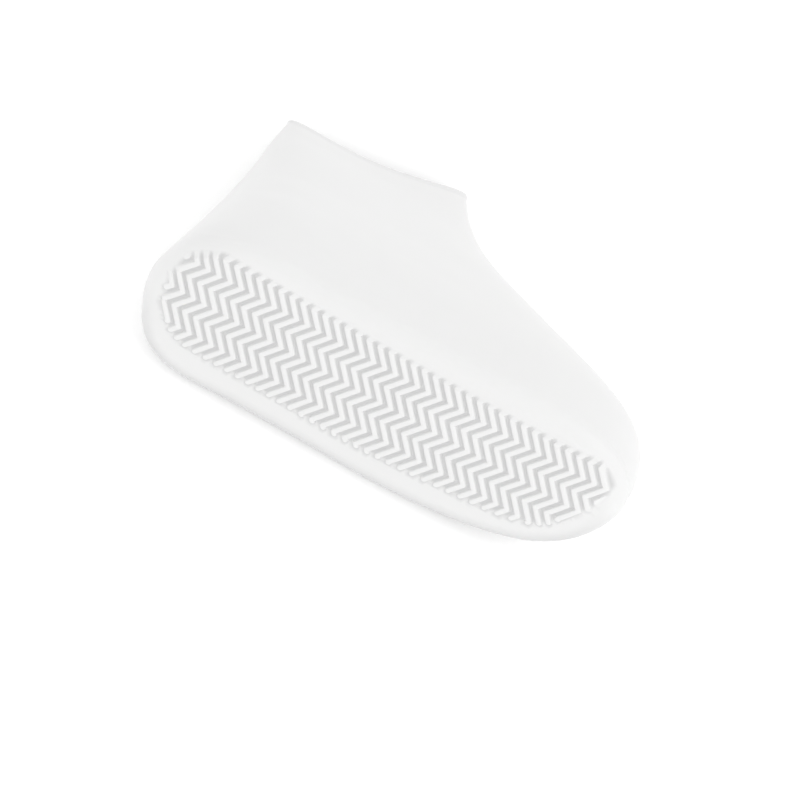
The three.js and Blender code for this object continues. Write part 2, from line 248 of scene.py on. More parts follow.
@dataclass(frozen=True)
class Sole:
    """Outline, edge and rocker of the sole, in millimetres as worn."""

    length: float = 275.0
    big_toe_side_width: float = 54.0
    small_toe_side_width: float = 64.5
    edge_radius: float = 9.0
    thickness: float = 2.5
    heel_rise: float = 3.5
    heel_rise_length: float = 32.0
    toe_rise: float = 2.5
    toe_rise_length: float = 45.0
    points_per_row: int = 12
    edge_rings: int = 12
    plate_ring: int = 5
    toe_row: int = 11
    # Painted shade along the small-toe side's lower edge, where it turns down toward the floor:
    shade_depth: float = 12.5
    shade_ramp: float = 9.0
    shade_top: float = 8.0
    shade_facing: tuple[float, float] = (-0.1, 0.75)
    shade_strength: float = 0.85

    @property
    def heel_end(self) -> float:
        """X of the heel end."""
        return -self.length / 2

    @property
    def toe_end(self) -> float:
        """X of the toe end."""
        return self.length / 2

    def outline_of(self, rows: tuple[OutlineRow, ...], length: float, big_toe_side: float,
                   small_toe_side: float) -> np.ndarray:
        """Makes a smooth closed outline from rows of shares.

        Args:
            rows: the shares of length and width.
            length: length of the outline.
            big_toe_side: width on the big-toe side.
            small_toe_side: width on the small-toe side.

        Returns:
            The outline's points in the ground plane.
        """
        places = [
            ((row.along - 0.5) * length,
             row.across * (big_toe_side if row.across < 0 else small_toe_side))
            for row in rows
        ]
        return closed_spline(np.array(places), self.points_per_row)

    def outline(self) -> np.ndarray:
        """Makes the outline of the sole's widest line."""
        return self.outline_of(SOLE_ROWS, self.length, self.big_toe_side_width,
                               self.small_toe_side_width)

    def sides(self) -> np.ndarray:
        """Tells the small-toe side, 1, from the big-toe side, -1, at each outline point."""
        count = len(SOLE_ROWS) * self.points_per_row
        return np.where(np.arange(count) < self.toe_row * self.points_per_row, 1.0, -1.0)

    def inward(self) -> np.ndarray:
        """Finds the direction to the inside of the sole at each outline point.

        Returns:
            The unit directions in the ground plane.
        """
        points = self.outline()
        step = np.roll(points, -1, axis=0) - np.roll(points, 1, axis=0)
        turned = np.stack([step[:, 1], -step[:, 0]], axis=1)
        return turned / np.linalg.norm(turned, axis=1)[:, None]

    def inset(self, distance: float) -> np.ndarray:
        """Makes the outline that lies a distance inside the sole's widest line."""
        return self.outline() + self.inward() * distance

    def edge_rise(self, depth: np.ndarray) -> np.ndarray:
        """Works out how far the rounded edge lies above the flat of the sole.

        Args:
            depth: how far inside the widest line the points lie, in the ground plane.

        Returns:
            The rise at each point.
        """
        outward = np.clip(1 - depth / self.edge_radius, 0, 1)
        return self.edge_radius * (1 - np.sqrt(1 - outward**2))

    def painted_edge_shade(self, points: np.ndarray, edge_height: float) -> np.ndarray:
        """Tells how strongly points get painted shade along the lower edge on the small-toe side,
        which faces down to the floor.

        Args:
            points: places as worn.
            edge_height: height of the widest line.

        Returns:
            The share at each point.
        """
        outline = self.outline()
        away = np.linalg.norm(points[:, None, :2] - outline[None, :, :], axis=2)
        facing = -self.inward()[away.argmin(1), 1]
        low, high = self.shade_facing
        sideways = smooth_step((facing - low) / (high - low))
        inwards = smooth_step((self.shade_depth - away.min(1)) / self.shade_ramp)
        upwards = smooth_step((edge_height + self.shade_top - points[:, 2]) / self.shade_top)
        return self.shade_strength * sideways * inwards * upwards

    def rings(self, ground: float) -> list[np.ndarray]:
        """Makes the rings of the rounded edge, from the flat of the sole to its widest line.

        Args:
            ground: height of the flat of the sole.

        Returns:
            The rings, one array of points each.
        """
        points = self.outline()
        inward = self.inward()
        found = []
        for index in range(self.edge_rings):
            turn = math.pi / 2 * index / self.edge_rings
            flat = points + inward * self.edge_radius * (1 - math.sin(turn))
            height = ground + self.edge_radius * (1 - math.cos(turn))
            found.append(np.column_stack([flat, np.full(len(flat), height)]))
        return found

    def lift(self, along: np.ndarray) -> np.ndarray:
        """Works out how much the sole is lifted near the heel and the toe.

        Args:
            along: X of the points.

        Returns:
            The lift of each point.
        """
        heel_length = self.heel_rise_length
        toe_length = self.toe_rise_length
        heel = np.maximum(0, (self.heel_end + heel_length - along) / heel_length)
        toe = np.maximum(0, (along - self.toe_end + toe_length) / toe_length)
        return self.heel_rise * heel**2 + self.toe_rise * toe**2


@dataclass(frozen=True)
class Collar:
    """Slit of the collar and its rolled rim, in millimetres as worn."""

    back_height: float = 146.0
    front_height: float = 158.5
    length: float = 101.5
    setback: float = 23.5
    slit: float = 19.0
    seam_offset: float = 5.0
    lean: float = 8.5
    sag: float = 7.0
    bead_radius: float = 1.2
    bead_rings: int = 14
    bead_turns: tuple[float, float] = (-45.0, 225.0)
    # Painted shadow line along the edge of the rolled rim:
    line_place: float = 0.45
    line_half_width: float = 0.2
    fullness: float = 3.0

    def bead(self, top: np.ndarray, below: np.ndarray, outward: np.ndarray,
             wall: float) -> list[np.ndarray]:
        """Rolls the rim round the edge of the wall.

        Args:
            top: points of the wall's last ring.
            below: points of the ring under it.
            outward: outward direction at the last ring.
            wall: thickness of the wall.

        Returns:
            The rings of the rim, from the outside over the top to the inside.
        """
        upward = top - below
        upward = upward / np.linalg.norm(upward, axis=1)[:, None]
        found = []
        for index in range(self.bead_rings + 1):
            turn = math.radians(mix(*self.bead_turns, index / self.bead_rings))
            found.append(
                top
                + outward * (self.bead_radius * math.cos(turn) - wall / 2)
                + upward * self.bead_radius * math.sin(turn)
            )
        return found

    def painted_rim_line(self) -> np.ndarray:
        """Tells how much painted shade each ring of the rolled rim gets: a painted shadow line,
        darkest on its edge.
        """
        share = np.arange(self.bead_rings + 1) / self.bead_rings
        return smooth_step(1 - np.abs(share - self.line_place) / self.line_half_width)


@dataclass(frozen=True)
class Upper:
    """Wall of the overshoe between the sole's edge and the collar, in millimetres as worn."""

    sole: Sole
    collar: Collar
    thickness: float = 1.3
    levels: int = 66

    def ring(self, level: float, edge_height: float) -> np.ndarray:
        """Makes one ring of the wall.

        Args:
            level: level in the table of rows.
            edge_height: height of the sole's widest line.

        Returns:
            The ring's points.
        """
        sole = self.sole
        collar = self.collar
        size = WallRow(*smooth_row(np.array(WALL_ROWS, float), level))
        vamp = sole.length - collar.setback - collar.length
        back = np.array([
            sole.heel_end + size.back_in * collar.setback,
            mix(SOLE_ROWS[0].across * sole.small_toe_side_width, collar.seam_offset, size.slit),
            edge_height + size.back_up * (collar.back_height - edge_height),
        ])
        front = np.array([
            sole.toe_end - size.front_in * vamp,
            mix(SOLE_ROWS[sole.toe_row].across * sole.big_toe_side_width, collar.seam_offset / 2,
                size.front_in),
            edge_height + size.front_up * (collar.front_height - edge_height),
        ])
        big_toe_side = mix(collar.lean - collar.slit / 2, -sole.big_toe_side_width, size.big_toe)
        small_toe_side = mix(collar.lean + collar.slit / 2, sole.small_toe_side_width,
                             size.small_toe)
        half_width = (small_toe_side - big_toe_side) / 2
        bow = (small_toe_side + big_toe_side) / 2 - (back[1] + front[1]) / 2
        outline = sole.outline()
        share = np.clip((outline[:, 0] - sole.heel_end) / sole.length, 0, 1)
        middle = 1 - (2 * share - 1) ** 2
        places = back + (front - back) * share[:, None]
        rounded = np.sqrt(np.maximum(0, 1 - np.abs(2 * share - 1) ** collar.fullness))
        slit_y = places[:, 1] + bow * middle + sole.sides() * half_width * rounded
        scale = np.where(outline[:, 1] < 0, -big_toe_side / sole.big_toe_side_width,
                         small_toe_side / sole.small_toe_side_width)
        places[:, 1] = mix(outline[:, 1] * scale, slit_y, size.slit)
        places[:, 2] -= collar.sag * size.slit**2 * middle
        return places

    def rings(self, edge_height: float) -> list[np.ndarray]:
        """Makes the rings of the wall from the sole's edge up to the collar.

        Args:
            edge_height: height of the sole's widest line.

        Returns:
            The rings, one array of points each.
        """
        top_level = len(WALL_ROWS) - 1
        return [
            self.ring(top_level * index / self.levels, edge_height)
            for index in range(self.levels + 1)
        ]


@dataclass(frozen=True)
class Tread:
    """Zigzag ribs under the sole, in millimetres as worn."""

    sole: Sole
    big_toe_side_width: float = 41.0
    small_toe_side_width: float = 41.5
    end_margin: float = 9.5
    rib_pitch: float = 6.53
    rib_height: float = 1.5
    rib_crown: float = 0.15
    rib_limit_share: float = 0.45
    crest_half_width: float = 1.25
    foot_half_width: float = 1.95
    nose_depth: float = 1.5
    # Painted shadow cast below the rib ends on the small-toe side, shifted off the ribs:
    nose_shade: float = 0.85
    nose_shade_shift: float = 1.5
    nose_shade_reach: tuple[float, float] = (1.5, 2.9)
    merging_nose_depth: float = 0.2
    merging_ramp: float = 3.2
    side_width: float = 30.0
    # Painted shade in the grooves, darkest midway between the ribs:
    groove_start: float = 1.2
    groove_fade: float = 3.0
    edge_clearance: float = 0.35
    swing: float = 7.4
    step: float = 12.5
    offset: float = 1.1
    margin_step: float = 2.6
    rib_lines: tuple[float, ...] = (0.6, 1.2, 1.38, 1.57, 1.76, 1.95)
    row_shares: tuple[float, ...] = (0.0, 0.03, 0.08, 0.16, 0.33, 0.5, 0.67, 0.84, 0.92, 0.97)
    row_overlap: float = 0.05
    nose_margin: float = 0.01
    nose_turns: int = 12
    search_step: float = 0.2
    shortest_run: int = 4
    border_gap: float = 0.6

    @property
    def slant(self) -> float:
        """Cosine of the angle between a rib and the line across the shoe."""
        return self.step / math.hypot(self.step, self.swing)

    def outline(self) -> np.ndarray:
        """Makes the outline of the ribbed field."""
        return self.sole.outline_of(TREAD_ROWS, self.sole.length - 2 * self.end_margin,
                                    self.big_toe_side_width, self.small_toe_side_width)

    def sway(self, across: np.ndarray) -> np.ndarray:
        """Works out how far the zigzag swings along the shoe.

        Args:
            across: Y of the points.

        Returns:
            The swing at each point.
        """
        phase = np.abs((across - self.offset) / self.step % 2 - 1)
        return (phase - 0.5) * self.swing

    def mount_point(self) -> tuple[float, float, float]:
        """Gives the point on the rib next to the middle where the zigzag is half way."""
        return self.rib_pitch / 2, self.offset + self.step / 2, 0.0

    def rib_middles(self) -> np.ndarray:
        """Lists the X of the middle line of each rib."""
        count = 2 * math.ceil((self.sole.length - 2 * self.end_margin) / self.rib_pitch / 2)
        return (np.arange(count) - (count - 1) / 2) * self.rib_pitch

    def small_toe_share(self, across: np.ndarray) -> np.ndarray:
        """Goes from 0 on the big-toe side to 1 on the small-toe side."""
        return smooth_step(0.5 + across / self.side_width)

    def limit(self) -> np.ndarray:
        """Makes the line on the rounded edge of the sole that no rib crosses."""
        return self.sole.inset(self.rib_limit_share * self.sole.edge_radius)

    def depth(self, points: np.ndarray) -> np.ndarray:
        """Measures how deep points lie inside the area that ribs may cover."""
        return np.minimum(depth_inside(points, self.outline()), depth_inside(points, self.limit()))

    def runs(self) -> list[np.ndarray]:
        """Finds the stretches of the rib middle lines that lie well inside the field.

        Returns:
            Each stretch as the points of a line with its bends.
        """
        across = np.arange(-self.sole.big_toe_side_width, self.sole.small_toe_side_width,
                           self.search_step)
        found = []
        for middle in self.rib_middles():
            line = np.column_stack([middle + self.sway(across), across])
            wanted = mix(self.merging_nose_depth, self.nose_depth, self.small_toe_share(across))
            inside = np.flatnonzero(self.depth(line) > wanted)
            for part in np.split(inside, np.flatnonzero(np.diff(inside) > 1) + 1):
                if len(part) >= self.shortest_run:
                    low, high = across[part[0]], across[part[-1]]
                    first = math.ceil((low - self.offset) / self.step)
                    last = math.floor((high - self.offset) / self.step)
                    bends = [self.offset + bend * self.step for bend in range(first, last + 1)]
                    rows = np.array([low, *bends, high])
                    found.append(np.column_stack([middle + self.sway(rows), rows]))
        return found

    def distance_to_ribs(self, points: np.ndarray, runs: list[np.ndarray]) -> np.ndarray:
        """Measures how far points lie from the nearest rib's middle line.

        Args:
            points: the points, in the ground plane.
            runs: the ribs' middle lines.

        Returns:
            The distance of each point.
        """
        found = np.full(len(points), self.rib_pitch)
        for run in runs:
            low = run.min(0) - self.rib_pitch
            high = run.max(0) + self.rib_pitch
            near = np.flatnonzero(((points > low) & (points < high)).all(1))
            if len(near):
                away = distance_to_lines(points[near], run[:-1], run[1:])
                found[near] = np.minimum(found[near], away)
        return found

    def flank(self, distance: np.ndarray) -> np.ndarray:
        """Gives the share of a rib's full height at points, from 1 on its top to 0 at its foot.

        Args:
            distance: how far the points lie from the rib's middle line.

        Returns:
            The share at each point.
        """
        slope = self.foot_half_width - self.crest_half_width
        return 1 - smooth_step((distance - self.crest_half_width) / slope)

    def crown(self, distance: np.ndarray) -> np.ndarray:
        """Gives how much a rib's rounded top falls off from its middle line to its sides.

        Args:
            distance: how far the points lie from the rib's middle line.

        Returns:
            The fall at each point.
        """
        return self.rib_crown * np.clip(distance / self.crest_half_width, 0, 1) ** 2

    def lattice(self, runs: list[np.ndarray]) -> tuple[np.ndarray, list[tuple[int, int]]]:
        """Lays points along the ribs, and lines between them that follow each rib.

        Args:
            runs: the ribs' middle lines.

        Returns:
            The points and the pairs of points that a line joins.
        """
        half_pitch = self.rib_pitch / 2
        beside = [line / self.slant for line in self.rib_lines]
        lines = np.array([*(-line for line in reversed(beside)), 0.0, *beside, half_pitch])
        first = math.floor((-self.sole.big_toe_side_width - self.offset) / self.step)
        last = math.ceil((self.sole.small_toe_side_width - self.offset) / self.step)
        rows = np.array([
            self.offset + (bend + share) * self.step
            for bend in range(first, last) for share in self.row_shares
        ])
        starts = (self.rib_middles()[:, None] + lines[None, :]).ravel()
        along = starts[:, None] + self.sway(rows)[None, :]
        grid = np.stack(np.broadcast_arrays(along, rows[None, :]), axis=2)
        points = grid.reshape(-1, 2)
        reach = half_pitch * self.slant + self.row_overlap
        kept = self.distance_to_ribs(points, runs) < reach
        for centre, ahead in self.noses(runs):
            away = points - centre
            kept &= ~((away @ ahead > self.nose_margin) & (np.linalg.norm(away, axis=1) < reach))
        number = np.cumsum(kept) - 1
        joined = kept.reshape(grid.shape[:2])
        joined = joined[:, :-1] & joined[:, 1:]
        from_rows = np.arange(len(points)).reshape(grid.shape[:2])[:, :-1][joined]
        pairs = [(int(number[place]), int(number[place + 1])) for place in from_rows]
        return points[kept], pairs

    def noses(self, runs: list[np.ndarray]) -> list[tuple[np.ndarray, np.ndarray]]:
        """Lists the ends of the ribs.

        Args:
            runs: the ribs' middle lines.

        Returns:
            The middle of each rounded end and the direction in which the rib ends there.
        """
        found = []
        for run in runs:
            for end, inner in ((run[0], run[1]), (run[-1], run[-2])):
                ahead = end - inner
                found.append((end, ahead / np.linalg.norm(ahead)))
        return found

    def nose_points(self, runs: list[np.ndarray]) -> np.ndarray:
        """Lays points round each end of the ribs.

        Args:
            runs: the ribs' middle lines.

        Returns:
            The points.
        """
        radii = np.array([*self.rib_lines, self.rib_pitch / 2 * self.slant])
        turns = np.radians(np.linspace(-90, 90, self.nose_turns + 1))
        found = []
        for centre, ahead in self.noses(runs):
            aside = np.array([-ahead[1], ahead[0]])
            fan = np.cos(turns)[:, None] * ahead + np.sin(turns)[:, None] * aside
            found.append(centre[None, :])
            found.append((centre + radii[:, None, None] * fan[None, :, :]).reshape(-1, 2))
        return np.concatenate(found)

    def border_points(self, edge: list[np.ndarray], runs: list[np.ndarray]) -> np.ndarray:
        """Lays points on the plain border between the ribs and the edge of the sole.

        Args:
            edge: rings of the sole's rounded edge that lie inside the ground side.
            runs: the ribs' middle lines.

        Returns:
            The points.
        """
        flat = edge[0][:, :2]
        low = flat.min(0)
        high = flat.max(0)
        along = np.arange(low[0], high[0], self.margin_step)
        across = np.arange(low[1], high[1], self.margin_step)
        grid = np.stack(np.meshgrid(along, across), axis=2)
        grid[1::2, :, 0] += self.margin_step / 2
        grid = grid.reshape(-1, 2)
        grid = grid[depth_inside(grid, flat) > self.margin_step / 2]
        points = np.concatenate([grid, *(ring[:, :2] for ring in edge)])
        nearest = self.rib_pitch / 2 * self.slant + self.border_gap
        return points[self.distance_to_ribs(points, runs) > nearest]

    def painted_groove_shade(self, points: np.ndarray, runs: list[np.ndarray]) -> np.ndarray:
        """Tells how much painted shade lies in the grooves between the ribs and how much painted
        shadow lies round their ends.

        Args:
            points: the points, in the ground plane.
            runs: the ribs' middle lines.

        Returns:
            The share of the painted shade at each point.
        """
        distance = self.distance_to_ribs(points, runs)
        small_toe = self.small_toe_share(points[:, 1])
        within = smooth_step((self.depth(points) + 1 - small_toe) / self.groove_fade)
        # Painted shade in the grooves, darkest midway between the ribs.
        middle = self.rib_pitch / 2 * self.slant
        painted_valley_shade = smooth_step((distance - self.groove_start) / (middle - self.groove_start))
        # Painted shadow that the rib ends cast on the border of the small-toe side.
        shadow_distance = self.distance_to_ribs(points - np.array([0, self.nose_shade_shift]), runs)
        start, end = self.nose_shade_reach
        nose_shadow_shape = 1 - smooth_step((shadow_distance - start) / (end - start))
        painted_nose_shadow = (1 - within) * small_toe * (nose_shadow_shape * (1 - self.flank(distance)))
        return np.maximum(within * painted_valley_shade, painted_nose_shadow * self.nose_shade)

    def ground_side(self, edge: list[np.ndarray]) -> "GroundSide":
        """Makes the whole ground side of the sole, up to a ring of its rounded edge.

        Args:
            edge: rings of the rounded edge, from the flat of the sole to the border of this side.

        Returns:
            The ground side, whose first points are those of the last ring.
        """
        border = edge[-1][:, :2]
        runs = self.runs()
        points, pairs = self.lattice(runs)
        loose = np.concatenate([self.nose_points(runs), self.border_points(edge[:-1], runs)])
        inner = depth_inside(points, border) > self.edge_clearance
        number = np.cumsum(inner) - 1
        pairs = [(int(number[a]), int(number[b])) for a, b in pairs if inner[a] and inner[b]]
        loose = loose[depth_inside(loose, border) > self.edge_clearance]
        plate = Plate.across(border, np.concatenate([points[inner], loose]), pairs)
        distance = self.distance_to_ribs(plate.points, runs)
        rise = self.sole.edge_rise(depth_inside(plate.points, self.sole.outline()))
        ramp = smooth_step(self.depth(plate.points) / self.merging_ramp)
        share = self.flank(distance) * mix(ramp, 1.0, self.small_toe_share(plate.points[:, 1]))
        height = (self.rib_height + rise - self.crown(distance)) * share - rise
        # The ground side carries the painted groove shade and the painted shadow past the rib ends.
        return GroundSide(plate, height, self.painted_groove_shade(plate.points, runs))


@dataclass
class Plate:
    """Flat triangles inside a closed outline."""

    points: np.ndarray
    faces: list[tuple[int, ...]]

    @classmethod
    def across(cls, outline: np.ndarray, inner: np.ndarray,
               pairs: list[tuple[int, int]]) -> "Plate":
        """Fills an outline with triangles.

        Args:
            outline: corners of the outline in order.
            inner: points inside it.
            pairs: pairs of inner points that have to be joined.

        Returns:
            The plate, whose first points are those of the outline.
        """
        count = len(outline)
        given = [Vector(point) for point in np.concatenate([outline, inner])]
        edges = [(index, (index + 1) % count) for index in range(count)]
        edges += [(a + count, b + count) for a, b in pairs]
        inside_only = 1
        same_point = 1e-4
        made, _, faces, sources, _, _ = delaunay_2d_cdt(given, edges, [], inside_only, same_point)
        order = {}
        for index, source in enumerate(sources):
            on_outline = [place for place in source if place < count]
            if on_outline:
                order[index] = on_outline[0]
        free = count
        for index in range(len(made)):
            if index not in order:
                order[index] = free
                free += 1
        points = np.zeros((free, 2))
        for index, place in enumerate(made):
            points[order[index]] = place
        return cls(points, [tuple(order[corner] for corner in face) for face in faces])


@dataclass(frozen=True)
class GroundSide:
    """Ground side of the sole: its triangles, how high it is and how much painted shade it gets at
    its points.
    """

    plate: Plate
    height: np.ndarray
    painted_shade: np.ndarray


@dataclass(frozen=True)
class RestPose:
    """Turns places as worn, in millimetres, into places as the overshoe lies, in metres."""

    turn: np.ndarray
    shift: np.ndarray

    @classmethod
    def from_tread(cls, mount: dict, point: tuple[float, float, float]) -> "RestPose":
        """Reads the pose off the flat top of a rib near the middle of the tread.

        Args:
            mount: the record's mount on the tread, whose axis points out of the sole.
            point: the mount's point as worn, in millimetres.

        Returns:
            The pose.
        """
        down = np.array(mount["axis"], float)
        down /= np.linalg.norm(down)
        toe = np.array([down[2], 0, -down[0]])
        toe /= np.linalg.norm(toe)
        side = np.cross(-down, toe)
        turn = np.column_stack([toe, side, -down])
        return cls(turn, np.array(mount["pos_m"]) - turn @ np.array(point) * MM)

    def place(self, points: np.ndarray) -> np.ndarray:
        """Lays points down.

        Args:
            points: places as worn, in millimetres.

        Returns:
            The places as the overshoe lies, in metres.
        """
        return points * MM @ self.turn.T + self.shift

    def direction(self, way: np.ndarray) -> Vector:
        """Turns a direction as worn into one as the overshoe lies.

        Args:
            way: the direction as worn.

        Returns:
            The unit direction as the overshoe lies.
        """
        return Vector(self.turn @ np.array(way, float)).normalized()


class NodeBoard:
    """Small helper that places and joins the nodes of a tree."""

    def __init__(self, tree: bpy.types.NodeTree) -> None:
        """Starts on an empty tree.

        Args:
            tree: the tree to fill.
        """
        self.tree = tree
        self.tree.nodes.clear()
        self.column = 0

    def add(self, kind: str, **settings: object) -> bpy.types.Node:
        """Adds a node.

        Args:
            kind: the node's type name.
            settings: attributes of the node.

        Returns:
            The node.
        """
        node = self.tree.nodes.new(kind)
        node.location = (self.column * 200, 0)
        self.column += 1
        for name, value in settings.items():
            setattr(node, name, value)
        return node

    def join(self, source: bpy.types.NodeSocket, target: bpy.types.NodeSocket) -> None:
        """Joins two sockets."""
        self.tree.links.new(source, target)

    def fill(self, socket: bpy.types.NodeSocket, value: bpy.types.NodeSocket | float) -> None:
        """Joins a socket to another, or sets its number.

        Args:
            socket: the socket to fill.
            value: the other socket, or the number.
        """
        if isinstance(value, bpy.types.NodeSocket):
            self.join(value, socket)
        else:
            socket.default_value = value

    def math(self, operation: str, first: bpy.types.NodeSocket | float,
             second: bpy.types.NodeSocket | float, clamp: bool = False) -> bpy.types.NodeSocket:
        """Adds a sum of two values.

        Args:
            operation: the sum's name.
            first: a socket or a number.
            second: a socket or a number.
            clamp: whether the result stays between 0 and 1.

        Returns:
            The result's socket.
        """
        node = self.add("ShaderNodeMath", operation=operation, use_clamp=clamp)
        for socket, value in zip(node.inputs, (first, second)):
            self.fill(socket, value)
        return node.outputs[0]

    def noise(self, scale: bpy.types.NodeSocket | float, detail: float,
              roughness: float) -> bpy.types.NodeSocket:
        """Adds noise that is fixed to the overshoe.

        Args:
            scale: a socket or a number of cells a metre.
            detail: how many finer layers it has.
            roughness: how strong they are.

        Returns:
            The noise's value, from 0 to 1.
        """
        place = self.add("ShaderNodeTexCoord")
        node = self.add("ShaderNodeTexNoise")
        self.join(place.outputs["Object"], node.inputs["Vector"])
        for name, value in (("Scale", scale), ("Detail", detail), ("Roughness", roughness)):
            self.fill(node.inputs[name], value)
        return node.outputs["Fac"]


class Socket(NamedTuple):
    """A socket of a shader group."""

    name: str
    kind: str


FLOAT = "NodeSocketFloat"
COLOUR = "NodeSocketColor"


def new_group(name: str, inputs: list[Socket], outputs: list[Socket]) -> tuple[
        NodeBoard, bpy.types.NodeOutputs, bpy.types.NodeInputs]:
    """Starts a shader group with its sockets.

    Args:
        name: the group's name.
        inputs: the sockets that it takes.
        outputs: the sockets that it gives.

    Returns:
        The board of its tree, its input sockets and its output sockets.
    """
    tree = bpy.data.node_groups.new(name, "ShaderNodeTree")
    for socket in inputs:
        tree.interface.new_socket(name=socket.name, in_out="INPUT", socket_type=socket.kind)
    for socket in outputs:
        tree.interface.new_socket(name=socket.name, in_out="OUTPUT", socket_type=socket.kind)
    board = NodeBoard(tree)
    source = board.add("NodeGroupInput")
    target = board.add("NodeGroupOutput")
    return board, source.outputs, target.inputs


class SiliconeEffects:
    """Shader groups that all finishes of the silicone share."""

    def __init__(self) -> None:
        """Builds the groups."""
        self.milk_and_painted_shade = self.milky_tint_and_painted_shade()
        self.satin = self.satin_sheen()
        self.grain = self.mould_grain()

    def milky_tint_and_painted_shade(self) -> bpy.types.NodeTree:
        """Builds the cloudy tint, and mixes in the painted shade colour wherever painted shade is
        asked for.

        Returns:
            The group.
        """
        board, given, wanted = new_group(
            "milky_tint_and_painted_shade",
            [Socket("Tint", COLOUR), Socket("Painted Shade Tint", COLOUR), Socket("Cloud Scale", FLOAT),
             Socket("Cloud Amount", FLOAT), Socket("Painted Shade", FLOAT)],
            [Socket("Colour", COLOUR)],
        )
        finer_by = 9.0
        broad_share = 0.75
        broad = board.noise(given["Cloud Scale"], detail=3.0, roughness=0.55)
        fine_scale = board.math("MULTIPLY", given["Cloud Scale"], finer_by)
        fine = board.noise(fine_scale, detail=2.0, roughness=0.5)
        cloud = board.math("ADD", board.math("MULTIPLY", broad, broad_share),
                           board.math("MULTIPLY", fine, 1 - broad_share))
        centred = board.math("SUBTRACT", cloud, 0.5)
        swing = board.math("MULTIPLY", centred, given["Cloud Amount"])
        share = board.math("ADD", given["Painted Shade"], swing, clamp=True)
        blend = board.add("ShaderNodeMix", data_type="RGBA")
        board.join(share, blend.inputs["Factor"])
        board.join(given["Tint"], blend.inputs["A"])
        board.join(given["Painted Shade Tint"], blend.inputs["B"])
        board.join(blend.outputs["Result"], wanted["Colour"])
        return board.tree

    def satin_sheen(self) -> bpy.types.NodeTree:
        """Builds the roughness of rubber that hands have rubbed here and there.

        Returns:
            The group.
        """
        board, given, wanted = new_group(
            "satin_sheen",
            [Socket("Roughness", FLOAT), Socket("Patch Scale", FLOAT),
             Socket("Patch Amount", FLOAT)],
            [Socket("Roughness", FLOAT)],
        )
        patches = board.noise(given["Patch Scale"], detail=4.0, roughness=0.6)
        centred = board.math("SUBTRACT", patches, 0.5)
        swing = board.math("MULTIPLY", centred, given["Patch Amount"])
        board.join(board.math("ADD", given["Roughness"], swing, clamp=True), wanted["Roughness"])
        return board.tree

    def mould_grain(self) -> bpy.types.NodeTree:
        """Builds the height of the mould's fine grain and of slow waves in the wall.

        Returns:
            The group.
        """
        board, given, wanted = new_group(
            "mould_grain",
            [Socket("Grain Scale", FLOAT), Socket("Grain Height", FLOAT),
             Socket("Wave Scale", FLOAT), Socket("Wave Height", FLOAT)],
            [Socket("Height", FLOAT)],
        )
        grain = board.noise(given["Grain Scale"], detail=2.0, roughness=0.6)
        grain = board.math("MULTIPLY", grain, given["Grain Height"])
        waves = board.noise(given["Wave Scale"], detail=1.0, roughness=0.4)
        waves = board.math("MULTIPLY", waves, given["Wave Height"])
        board.join(board.math("ADD", grain, waves), wanted["Height"])
        return board.tree


@dataclass(frozen=True)
class SiliconeFinish:
    """Finish of one zone of the silicone. Scales are in cells a metre and heights in metres."""

    name: str
    tint: tuple[float, float, float] = (0.74, 0.74, 0.738)
    # Colour of the painted shade in the grooves, past the rib ends, along the lower edge and on the
    # rim line.
    painted_shade_tint: tuple[float, float, float] = (0.58, 0.58, 0.58)
    cloud_scale: float = 22.0
    cloud_amount: float = 0.18
    roughness: float = 0.42
    patch_scale: float = 35.0
    patch_amount: float = 0.12
    grain_scale: float = 1400.0
    grain_height: float = 0.00002
    wave_scale: float = 45.0
    wave_height: float = 0.0002
    subsurface: float = 0.3
    subsurface_radius: tuple[float, float, float] = (0.0022, 0.0022, 0.0021)
    refraction: float = 1.41
    coat: float = 0.05
    coat_roughness: float = 0.3

    def effect(self, board: NodeBoard, group: bpy.types.NodeTree,
               values: dict[str, float | tuple[float, ...]]) -> bpy.types.Node:
        """Places a shader group with this finish's values.

        Args:
            board: the board of the material.
            group: the group to place.
            values: the values of its sockets by name.

        Returns:
            The group's node.
        """
        node = board.add("ShaderNodeGroup", node_tree=group)
        for name, value in values.items():
            node.inputs[name].default_value = value
        return node

    def material(self, effects: SiliconeEffects) -> bpy.types.Material:
        """Makes the material.

        Args:
            effects: the shared shader groups.

        Returns:
            The material.
        """
        material = bpy.data.materials.new(self.name)
        material.use_nodes = True
        board = NodeBoard(material.node_tree)
        # Painted shade per point, which mixes the painted shade colour into the tint.
        painted_shade = board.add("ShaderNodeAttribute", attribute_name=PAINTED_SHADE)
        milk_and_painted_shade = self.effect(board, effects.milk_and_painted_shade, {
            "Tint": (*self.tint, 1), "Painted Shade Tint": (*self.painted_shade_tint, 1),
            "Cloud Scale": self.cloud_scale, "Cloud Amount": self.cloud_amount,
        })
        board.join(painted_shade.outputs["Fac"], milk_and_painted_shade.inputs["Painted Shade"])
        satin = self.effect(board, effects.satin, {
            "Roughness": self.roughness, "Patch Scale": self.patch_scale,
            "Patch Amount": self.patch_amount,
        })
        grain = self.effect(board, effects.grain, {
            "Grain Scale": self.grain_scale, "Grain Height": self.grain_height,
            "Wave Scale": self.wave_scale, "Wave Height": self.wave_height,
        })
        bump = board.add("ShaderNodeBump")
        bump.inputs["Strength"].default_value = 1.0
        bump.inputs["Distance"].default_value = 1.0
        board.join(grain.outputs["Height"], bump.inputs["Height"])
        surface = board.add("ShaderNodeBsdfPrincipled")
        board.join(milk_and_painted_shade.outputs["Colour"], surface.inputs["Base Color"])
        board.join(satin.outputs["Roughness"], surface.inputs["Roughness"])
        board.join(bump.outputs["Normal"], surface.inputs["Normal"])
        for socket, value in (
                ("IOR", self.refraction), ("Subsurface Weight", self.subsurface),
                ("Subsurface Radius", self.subsurface_radius), ("Subsurface Scale", 1.0),
                ("Coat Weight", self.coat), ("Coat Roughness", self.coat_roughness)):
            surface.inputs[socket].default_value = value
        output = board.add("ShaderNodeOutputMaterial")
        board.join(surface.outputs["BSDF"], output.inputs["Surface"])
        return material


